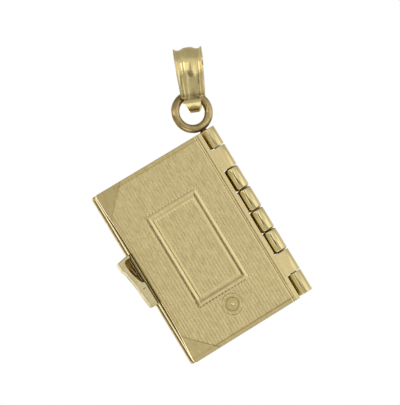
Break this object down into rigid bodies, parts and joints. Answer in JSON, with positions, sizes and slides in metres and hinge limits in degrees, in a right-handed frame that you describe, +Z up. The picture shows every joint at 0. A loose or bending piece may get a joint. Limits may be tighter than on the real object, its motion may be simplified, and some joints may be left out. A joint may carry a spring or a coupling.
{
  "type": "bible charm",
  "caption": "Gold book-shaped bible charm: hinged covers and pages on a pin, a fore-edge clasp, a soldered corner ring and a fluted loop bail.",
  "frame": {"origin": "the chain seat, the inside top of the bail, where a chain or cord holds the charm", "axes": "+Z up as the charm hangs, -Y the face of the back cover that the picture shows, +X to that view's right, the side of the hinge"},
  "size_m": [0.0234, 0.0044, 0.0332],
  "materials": {
    "polished_gold": "polished pale yellow 14 carat gold",
    "satin_gold": "finely lined satin face with polished borders, pale yellow 14 carat gold",
    "page_gold": "plain rolled and lightly polished pale yellow 14 carat gold"
  },
  "bodies": {
    "bail": {"bail": "polished_gold"},
    "front_cover": {"front_cover": "satin_gold", "hinge_pin": "polished_gold"},
    "page_1": {"page_1": "page_gold"},
    "page_2": {"page_2": "page_gold"},
    "back_cover": {"back_cover": "satin_gold"}
  },
  "joints": [
    {"name": "pendant_swing", "type": "hinge", "parent": "bail", "child": "front_cover", "pos_m": [0.00047, 0, -0.00452], "axis": [0.9511, -0.309, 0], "range_deg": [-25, 25]},
    {"name": "page_1_hinge", "type": "hinge", "parent": "front_cover", "child": "page_1", "pos_m": [0.00205, 0, -0.0081], "axis": [-0.5358, 0, 0.8443], "range_deg": [0, 40]},
    {"name": "page_2_hinge", "type": "hinge", "parent": "page_1", "child": "page_2", "pos_m": [0.00205, 0, -0.0081], "axis": [-0.5358, 0, 0.8443], "range_deg": [0, 40]},
    {"name": "back_cover_hinge", "type": "hinge", "parent": "page_2", "child": "back_cover", "pos_m": [0.00205, 0, -0.0081], "axis": [-0.5358, 0, 0.8443], "range_deg": [0, 170]}
  ]
}
